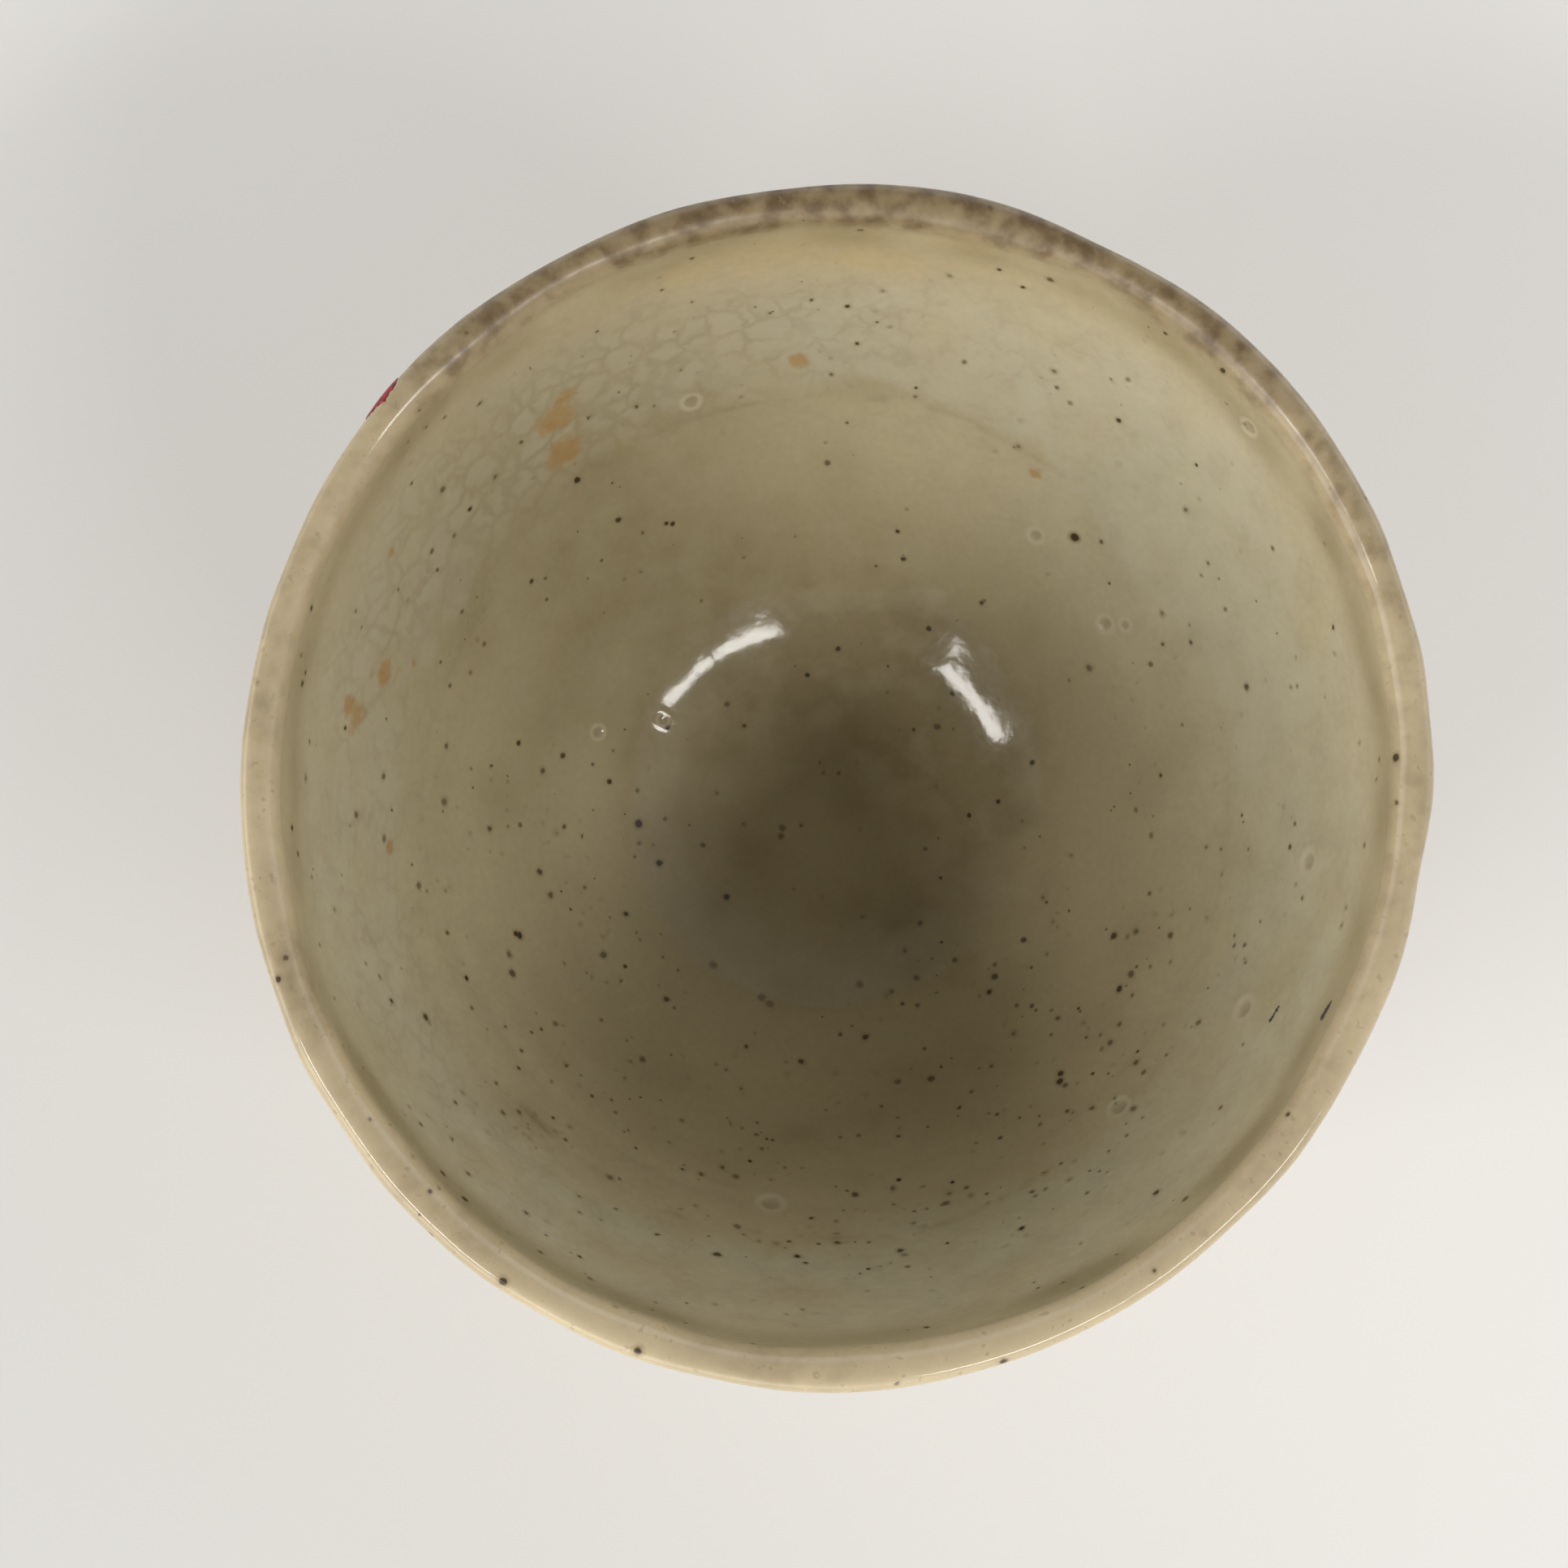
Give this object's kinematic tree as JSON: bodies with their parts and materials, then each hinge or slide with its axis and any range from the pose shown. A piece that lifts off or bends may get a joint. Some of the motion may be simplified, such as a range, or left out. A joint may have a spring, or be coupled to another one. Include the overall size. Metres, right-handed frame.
{
  "type": "matcha bowl",
  "caption": "Deep hand-thrown ceramic tea bowl with a rounded lip, a glazed inside and outside, and a bare clay foot ring.",
  "frame": {"origin": "middle of the foot ring's underside, on the surface that the bowl stands on", "axes": "+Z is the bowl's turning axis, from the foot up to the rim; +X and +Y are the picture's right and top, seen from above"},
  "size_m": [0.119, 0.121, 0.0759],
  "materials": {
    "stoneware_clay": "bare fired stoneware, matt, fine-grained",
    "foot_clay": "bare fired stoneware, matt, wiped smooth where it stands",
    "celadon_glaze": "glossy celadon and cream glaze, finely crazed, iron speckled",
    "warm_lip_glaze": "glossy warm beige glaze, brown stained, iron speckled",
    "outer_glaze": "glossy cream glaze, finely crazed, iron speckled",
    "red_enamel": "dark red overglaze enamel, glossy, brushed on"
  },
  "bodies": {
    "root": {"clay_body": "stoneware_clay", "foot_ring": "foot_clay", "inner_glaze": "celadon_glaze", "lip_glaze": "warm_lip_glaze", "outer_glaze": "outer_glaze", "red_enamel_stroke": "red_enamel"}
  },
  "joints": []
}
